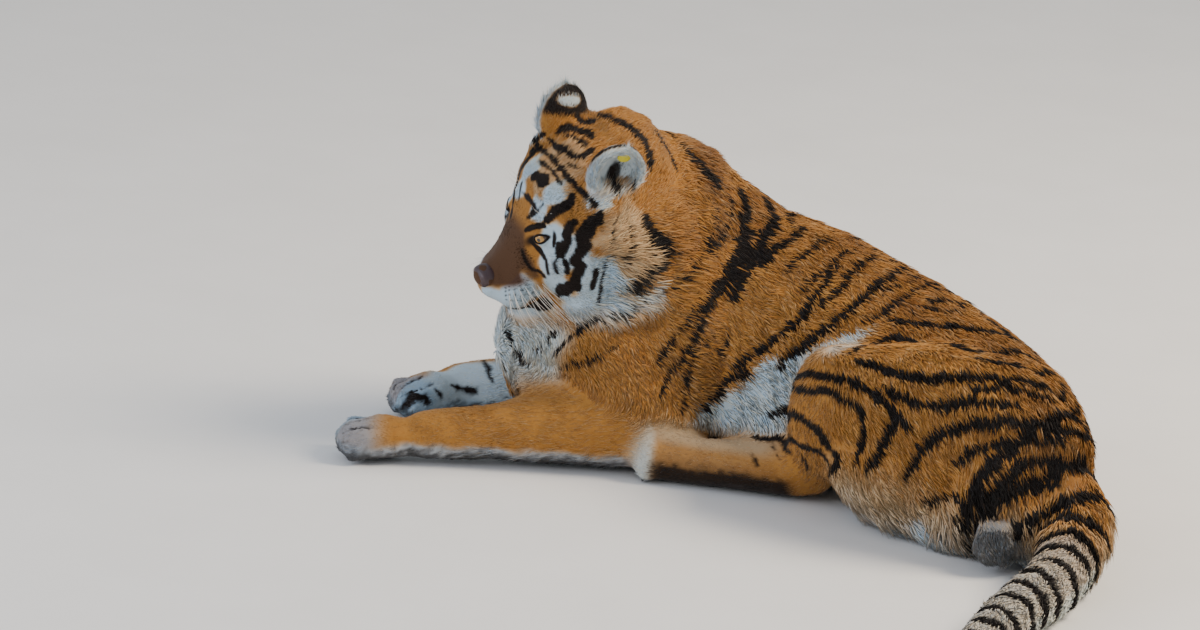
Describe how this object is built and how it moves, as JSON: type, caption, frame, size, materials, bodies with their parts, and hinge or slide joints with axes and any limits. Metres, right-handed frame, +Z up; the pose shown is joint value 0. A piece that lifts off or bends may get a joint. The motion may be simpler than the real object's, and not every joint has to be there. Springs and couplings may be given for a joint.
{
  "type": "siberian tiger",
  "caption": "Life-size Siberian tiger lying at rest, forelegs stretched forward, head lowered and turned, hips rolled onto one side.",
  "frame": {"origin": "centre of the box round the tiger, on the floor it lies on", "axes": "+Z up from the floor, -X towards the forepaws, so that the body's length runs along X, and -Y to the tiger's left side"},
  "size_m": [1.7294, 1.3906, 0.7494],
  "materials": {
    "coat": "matt winter fur, orange with dark stripes and pale underparts",
    "nose_skin": "damp bare skin",
    "eye": "glossy amber glass eye",
    "ear_tag": "plain yellow plastic"
  },
  "bodies": {
    "root": {"head": "coat", "neck": "coat", "trunk": "coat", "hindquarters": "coat", "upper_arm_left": "coat", "upper_arm_right": "coat", "forearm_left": "coat", "forearm_right": "coat", "forepaw_left": "coat", "forepaw_right": "coat", "thigh_left": "coat", "thigh_right": "coat", "shank_left": "coat", "shank_right": "coat", "hind_foot_left": "coat", "hind_foot_right": "coat", "tail_root": "coat", "tail_middle": "coat", "tail_tip": "coat", "scrotum": "coat", "ear_left": "coat", "ear_right": "coat", "nose_pad": "nose_skin", "eye_left": "eye", "eye_right": "eye", "ear_tag": "ear_tag"}
  },
  "joints": []
}
